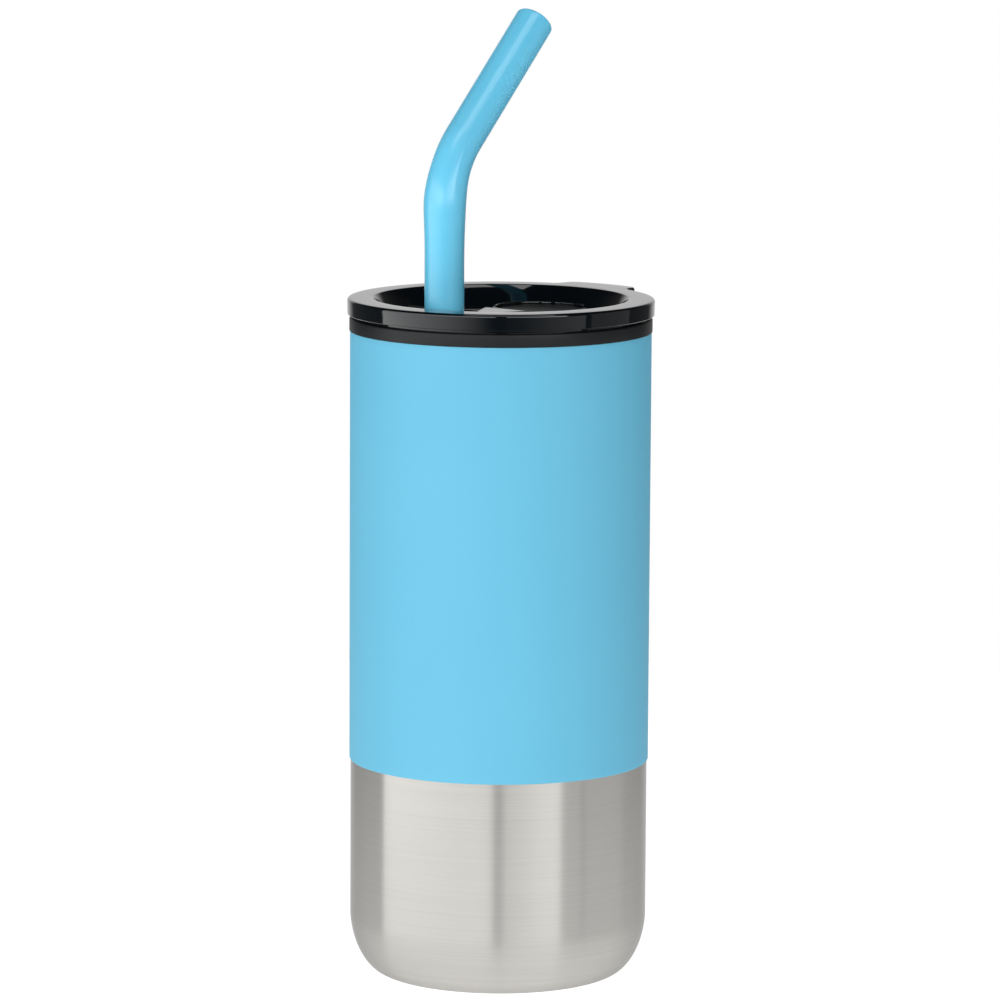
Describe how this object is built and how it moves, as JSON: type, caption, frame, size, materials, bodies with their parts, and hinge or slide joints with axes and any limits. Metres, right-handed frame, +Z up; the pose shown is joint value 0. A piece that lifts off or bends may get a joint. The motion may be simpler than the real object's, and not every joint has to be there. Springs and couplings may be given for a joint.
{
  "type": "straw tumbler",
  "caption": "Insulated steel straw cup with a coloured sleeve, plastic liner, push-in lid with a flip-over flap and a bent silicone straw.",
  "frame": {"origin": "centre of the flat foot, on the surface that the cup stands on", "axes": "+Z up along the cup's axis, +X towards the lid's lift tab; the straw stands on the -X side and leans towards +X"},
  "size_m": [0.0812, 0.0762, 0.2406],
  "materials": {
    "steel": "brushed round the cup",
    "sleeve_blue": "soft-touch matt",
    "liner_black": "matt moulded",
    "seal_black": "matt silicone",
    "lid_black": "polished",
    "pin_steel": "drawn wire",
    "straw_blue": "satin silicone"
  },
  "bodies": {
    "cup": {"outer_shell": "steel", "sleeve": "sleeve_blue", "liner": "liner_black", "liner_seal": "seal_black"},
    "lid": {"lid_body": "lid_black", "lid_gasket": "seal_black", "hinge_pin": "pin_steel"},
    "flap": {"flap": "lid_black", "flap_seal": "seal_black"},
    "straw": {"straw": "straw_blue"}
  },
  "joints": [
    {"name": "lid_lift", "type": "slide", "parent": "cup", "child": "lid", "axis": [0, 0, 1], "range_m": [0, 0.16]},
    {"name": "flap_hinge", "type": "hinge", "parent": "lid", "child": "flap", "pos_m": [-0.0005, 0, 0.16435], "axis": [0, -1, 0], "range_deg": [0, 120]},
    {"name": "straw_lift", "type": "slide", "parent": "lid", "child": "straw", "axis": [0, 0, 1], "range_m": [0, 0.155]}
  ]
}
